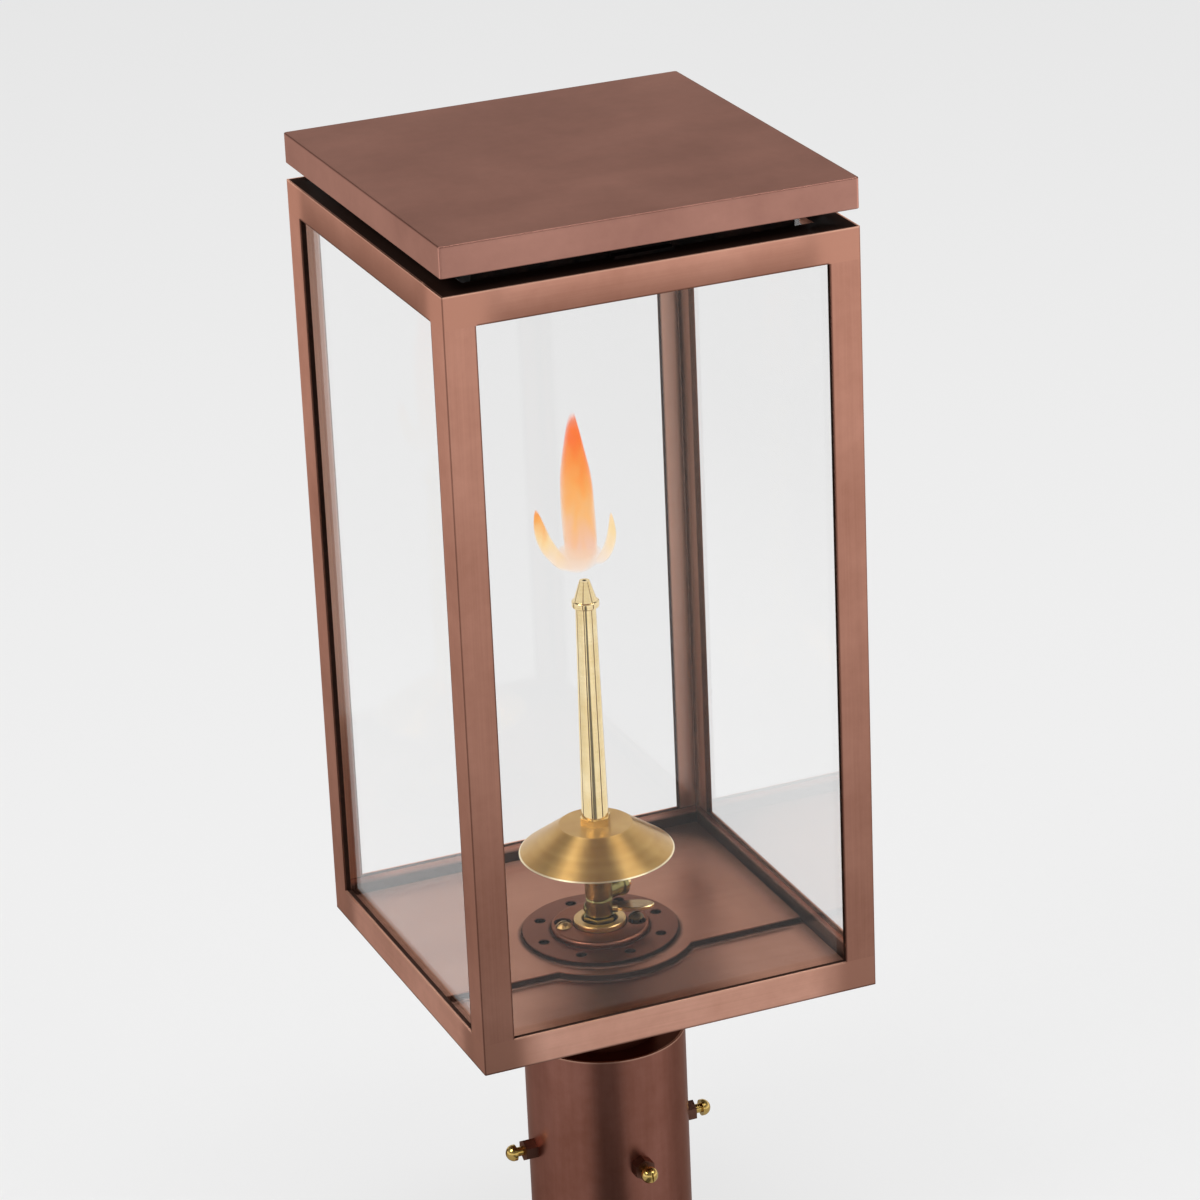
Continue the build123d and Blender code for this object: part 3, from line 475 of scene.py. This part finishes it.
# Glass
def float_glass():
    """Clear float glass: sharp reflections that grow at a slant, and next to no colour. Lamps shine through."""
    material, tree = new_material("clear float glass")
    tint = linear("#fdfdfd")
    finish = {"Base Color": tint, "Roughness": 0.0, "IOR": 1.35, "Transmission Weight": 1.0}
    glass = add(tree, "ShaderNodeBsdfPrincipled", finish)
    clear = add(tree, "ShaderNodeBsdfTransparent", {"Color": tint})
    lamp = add(tree, "ShaderNodeLightPath", out="Is Shadow Ray")
    surface = add(tree, "ShaderNodeMixShader", {0: lamp, 1: glass, 2: clear})
    add(tree, "ShaderNodeOutputMaterial", {"Surface": surface})
    return material


dress([f"pane_{side}" for side in SIDES], float_glass())

# Flame: thin nested skins, so that it fades towards its outline
FLAME_PLANE = math.radians(-23)  # the flat flame's own plane, turned from +X
FLAME_FLATNESS = 0.6  # its depth over its width
SKINS, CLOSING = 9, 0.65  # the skins close in by up to this share of the tongue's width


def flame_gas(name, low, high, colours, most):
    """Burning gas: lit from within, clear at its foot, deeper in colour towards its tip, with soft wisps.

    low and high are its ends in mm over the burner's tip, and most is the share of light that one skin stops.
    """
    material, tree = new_material(name)
    place = add(tree, "ShaderNodeTexCoord", out="Object")
    height = add(tree, "ShaderNodeSeparateXYZ", {0: place}, out="Z")
    share = ramp(tree, height, TIP_TOP + low * MM, TIP_TOP + high * MM)
    drawn_up = add(tree, "ShaderNodeMapping", {"Vector": place, "Scale": (1.0, 1.0, 0.35)})
    wisps = noise(tree, drawn_up, 6 * MM, 3.0, Distortion=0.8)
    shifted = calc(tree, "MULTIPLY_ADD", wisps, 0.5, -0.25)
    shifted = calc(tree, "ADD", shifted, share)
    places = [i / (len(colours) - 1) for i in range(len(colours))]
    order = [0, len(colours) - 1] + list(range(1, len(colours) - 1))
    colour = add(tree, "ShaderNodeValToRGB", {0: shifted}, stops=[(places[i], linear(colours[i])) for i in order])
    foot = ramp(tree, share, 0.0, 0.14, high=most, smooth=True)
    tip = ramp(tree, share, 1.0, 0.85, smooth=True)
    thick = ramp(tree, wisps, 0.25, 0.7, 0.7, 1.0)
    alpha = calc(tree, "MULTIPLY", foot, tip)
    alpha = calc(tree, "MULTIPLY", alpha, thick)
    gas = {"Base Color": (0.0, 0.0, 0.0, 1.0), "Specular IOR Level": 0.0, "Emission Color": colour, "Alpha": alpha}
    surface = add(tree, "ShaderNodeBsdfPrincipled", {**gas, "Emission Strength": 1.0})
    add(tree, "ShaderNodeOutputMaterial", {"Surface": surface})
    return material


def tongue(name, stations, lean, material):
    """One tongue of flame from nested skins. Stations are (across, height, half width) in mm over the burner's tip.

    The inner skins shift across by lean, so that one side of the tongue fades sooner.
    """
    bm = bmesh.new()
    for skin in range(SKINS):
        share = 1 - CLOSING * skin / SKINS
        loop = None
        for across, height, half in stations:
            if loop is None:
                ring = bmesh.ops.create_circle(bm, segments=12, radius=1.0, cap_ends=True)["verts"]
                loop = list(dict.fromkeys(edge for vert in ring for edge in vert.link_edges))
            else:
                grown = bmesh.ops.extrude_edge_only(bm, edges=loop)["geom"]
                ring = [item for item in grown if isinstance(item, bmesh.types.BMVert)]
                loop = [item for item in grown if isinstance(item, bmesh.types.BMEdge)]
                bmesh.ops.transform(bm, matrix=place.inverted(), verts=ring)
            shift = Matrix.Translation(((across + lean * (1 - share)) * MM, 0.0, TIP_TOP + height * MM))
            place = shift @ Matrix.Diagonal((half * share * MM, half * share * FLAME_FLATNESS * MM, 1.0, 1.0))
            bmesh.ops.transform(bm, matrix=place, verts=ring)
        bmesh.ops.contextual_create(bm, geom=loop)
    bmesh.ops.rotate(bm, verts=bm.verts, matrix=Matrix.Rotation(FLAME_PLANE, 3, "Z"))
    bmesh.ops.recalc_face_normals(bm, faces=bm.faces)
    mesh = bpy.data.meshes.new(name)
    bm.to_mesh(mesh)
    bm.free()
    mesh.shade_smooth()
    mesh.materials.append(material)
    piece = bpy.data.objects.new(name, mesh)
    bpy.context.collection.objects.link(piece)
    rounding = piece.modifiers.new("rounding", "SUBSURF")
    rounding.levels = rounding.render_levels = 2
    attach(piece, "burner")


# Stations of the tongues, and their colours from foot to tip
MAIN = [(-0.6, 9, 5.0), (-0.8, 13, 8.2), (-1.1, 23, 8.7), (-1.7, 37, 8.8), (-1.9, 52, 8.4)]
MAIN += [(-2.2, 60, 7.4), (-2.4, 67, 6.0), (-2.5, 74, 4.6), (-2.6, 82, 3.0), (-2.7, 90, 0.6)]
LEFT = [(-6, 4, 2.0), (-9, 6.5, 4.2), (-12.5, 11.5, 5.0), (-16.2, 16, 4.9), (-19.4, 22.6, 4.0)]
LEFT += [(-21.2, 30, 3.1), (-22.3, 39, 0.5)]
RIGHT = [(7, 8, 2.0), (9.2, 10.9, 3.4), (12.1, 15.3, 3.2), (14.2, 21.2, 2.8), (14.9, 27.7, 2.0), (14.4, 36, 0.4)]
FOOT = [(-3, 4, 3.0), (-3, 7, 8.0), (-2.6, 11, 12.5), (-2.2, 15, 13.0), (-2, 20, 9.0)]
MAIN_GLOW = ["#f4cdbd", "#fac39c", "#fdbd78", "#ffae5c", "#ff9440", "#ff7830", "#fb8454"]
LEFT_GLOW = ["#fae9dc", "#fde3c4", "#ffdca4", "#ffb056", "#ff9040"]
RIGHT_GLOW = ["#fae9dc", "#fde6c8", "#ffe0a8", "#ffdcb0"]
FOOT_GLOW = ["#fbe6d6", "#fbd9bd", "#fbd2ae", "#fbd8b8"]
for name, words, low, high, glow, most, stations, lean in (
    ("flame_main", "main tongue", 10, 89, MAIN_GLOW, 0.34, MAIN, 2.2),
    ("flame_left", "left tongue", 5, 39, LEFT_GLOW, 0.3, LEFT, -0.6),
    ("flame_right", "right tongue", 8, 36, RIGHT_GLOW, 0.26, RIGHT, 0.4),
    ("flame_foot", "flame's foot", 4, 20, FOOT_GLOW, 0.1, FOOT, 0.0),
):
    tongue(name, stations, lean, flame_gas(f"burning gas of the {words}", low, high, glow, most))

# Studio
PAPER = linear("#eeeeee")
# Level directions: towards the camera, across its view, and to the back left
FRONT, SIDE, BACK_LEFT = (-0.372, -0.928, 0.0), (0.928, -0.372, 0.0), (-0.372, 0.928, 0.0)


def paper_floor():
    """White studio paper: seen at one even pale grey with the object's soft shadow, and mirrored as it is lit.

    Metal mirrors it darker near the lantern, which keeps the light off it, but for a paler pool at its foot. A dark
    strip runs to the front, and bright wings to the sides. Distances are in metres.
    """
    material, tree = new_material("pale studio paper")
    ray = add(tree, "ShaderNodeLightPath").node.outputs
    seen = calc(tree, "MAXIMUM", ray["Is Camera Ray"], ray["Is Glossy Ray"])
    seen = calc(tree, "MAXIMUM", seen, ray["Is Transmission Ray"])
    # The rest is lit by the lamps and takes the shadow
    even_share = calc(tree, "MULTIPLY", seen, 0.85)
    matt = add(tree, "ShaderNodeBsdfPrincipled", {"Base Color": PAPER, "Roughness": 0.9, "Specular IOR Level": 0.1})

    def along(vector, axis):
        return add(tree, "ShaderNodeVectorMath", {0: vector, 1: axis}, out="Value", operation="DOT_PRODUCT")

    place = add(tree, "ShaderNodeTexCoord", out="Object")
    far = add(tree, "ShaderNodeVectorMath", {0: place}, out="Value", operation="LENGTH")
    way = add(tree, "ShaderNodeVectorMath", {0: place}, operation="NORMALIZE")
    ahead, back = along(place, FRONT), along(way, BACK_LEFT)
    aside, wing = calc(tree, "ABSOLUTE", along(place, SIDE)), calc(tree, "ABSOLUTE", along(way, SIDE))
    lit = ramp(tree, far, 0.3, 1.9, 0.3, 1.4, smooth=True)
    pool = ramp(tree, far, 0.26, 0.36, 0.45, 0.0, smooth=True)
    lit = calc(tree, "MAXIMUM", lit, pool)
    # The strip is a wedge near the lantern and keeps its width further out
    narrow = calc(tree, "DIVIDE", aside, calc(tree, "MINIMUM", far, 0.45))
    strip = ramp(tree, narrow, 0.2, 0.467, 0.03, 1.3, smooth=True)
    beside = ramp(tree, aside, 0.4, 0.8, 1.3, 1.0, smooth=True)
    strip = calc(tree, "MINIMUM", strip, beside)
    behind = ramp(tree, ahead, 0.05, -0.05)
    strip = calc(tree, "MAXIMUM", strip, behind)
    bright = ramp(tree, far, 0.26, 0.4, 1.0, 1.9, smooth=True)
    wings = ramp(tree, wing, 0.78, 0.95, 1.0, bright, smooth=True)
    shaded = ramp(tree, back, 0.3, 0.9, 1.0, 0.7, smooth=True)
    for part in (wings, shaded):
        lit = calc(tree, "MULTIPLY", lit, part)
    # Pieces behind the panes mirror the paper evenly, but for the strip
    within = calc(tree, "MULTIPLY", ray["Is Transmission Ray"], 0.8)
    lit = add(tree, "ShaderNodeMix", {0: within, 2: lit, 3: 1.15}, data_type="FLOAT")
    lit = calc(tree, "MULTIPLY", lit, strip)
    # Panes mirror only the paper behind the lantern as pale as it is seen
    sharp = calc(tree, "MULTIPLY", ray["Is Reflection Ray"], ray["Is Singular Ray"])
    in_pane = ramp(tree, back, -0.2, 0.6, 0.12, 0.95, smooth=True)
    lit = add(tree, "ShaderNodeMix", {0: sharp, 2: lit, 3: in_pane}, data_type="FLOAT")
    mirrored = calc(tree, "MINIMUM", ray["Glossy Depth"], 1.0)
    level = add(tree, "ShaderNodeMix", {0: mirrored, 2: 1.0, 3: lit}, data_type="FLOAT")
    even = add(tree, "ShaderNodeEmission", {"Color": PAPER, "Strength": level})
    surface = add(tree, "ShaderNodeMixShader", {0: even_share, 1: matt, 2: even})
    add(tree, "ShaderNodeOutputMaterial", {"Surface": surface})
    return material


FLOOR_REACH = 15.0
bm = bmesh.new()
bmesh.ops.create_grid(bm, x_segments=1, y_segments=1, size=FLOOR_REACH)
floor_mesh = bpy.data.meshes.new("studio_floor")
bm.to_mesh(floor_mesh)
bm.free()
floor_mesh.materials.append(paper_floor())
floor = bpy.data.objects.new("studio_floor", floor_mesh)
bpy.context.collection.objects.link(floor)


def studio_world():
    """The studio's walls: even pale grey where seen, and mirrored pale near the floor and dim above.

    The pieces behind the panes mirror the pale part up to a higher level.
    """
    studio = bpy.data.worlds.new("studio")
    studio.use_nodes = True
    tree = studio.node_tree
    tree.nodes.clear()
    ray = add(tree, "ShaderNodeLightPath").node.outputs
    seen = calc(tree, "MAXIMUM", ray["Is Camera Ray"], ray["Is Transmission Ray"])
    seen = calc(tree, "MULTIPLY", seen, calc(tree, "LESS_THAN", ray["Glossy Depth"], 0.5))
    way = add(tree, "ShaderNodeTexCoord", out="Generated")
    rise = add(tree, "ShaderNodeSeparateXYZ", {0: way}, out="Z")
    outer = ramp(tree, rise, 0.2, 0.36, 1.0, 0.2, smooth=True)
    inner = ramp(tree, rise, 0.48, 0.75, 0.95, 0.08, smooth=True)
    wall = add(tree, "ShaderNodeMix", {0: ray["Is Transmission Ray"], 2: outer, 3: inner}, data_type="FLOAT")
    dim = add(tree, "ShaderNodeBackground", {"Color": linear("#ffffff"), "Strength": wall})
    pale = add(tree, "ShaderNodeBackground", {"Color": PAPER, "Strength": 1.0})
    walls = add(tree, "ShaderNodeMixShader", {0: seen, 1: dim, 2: pale})
    add(tree, "ShaderNodeOutputWorld", {"Surface": walls})
    return studio


scene = bpy.context.scene
scene.world = studio_world()

# Softboxes
AIM = Vector((0.0, 0.0, 0.32))
for name, place, size, power in (
    ("softbox_left", (-1.9, -0.3, 2.3), 1.2, 34.0),
    ("softbox_right", (1.5, -1.2, 2.3), 1.2, 28.0),
    ("softbox_top", (0.3, 0.6, 2.6), 1.6, 30.0),
):
    light = bpy.data.lights.new(name, "AREA")
    light.shape, light.size, light.energy = "SQUARE", size, power
    lamp = bpy.data.objects.new(name, light)
    lamp.location = place
    lamp.rotation_euler = (AIM - Vector(place)).to_track_quat("-Z", "Y").to_euler()
    bpy.context.collection.objects.link(lamp)

# Camera, fitted to the photograph's frame corners
CAMERA_PLACE = (-0.79025, -1.96953, 1.21753)
AZIMUTH, ELEVATION, ROLL = (math.radians(angle) for angle in (-22.069, 22.240, -2.538))
lens = bpy.data.cameras.new("camera")
lens.lens, lens.sensor_width = 138.91, 36.0
camera = bpy.data.objects.new("camera", lens)
turn = Euler((math.pi / 2 - ELEVATION, 0.0, AZIMUTH)).to_matrix() @ Matrix.Rotation(ROLL, 3, "Z")
camera.location, camera.rotation_euler = CAMERA_PLACE, turn.to_euler()
bpy.context.collection.objects.link(camera)
scene.camera = camera
scene.view_settings.view_transform = "Standard"
scene.cycles.transparent_max_bounces = 48  # the flame's skins lie many deep
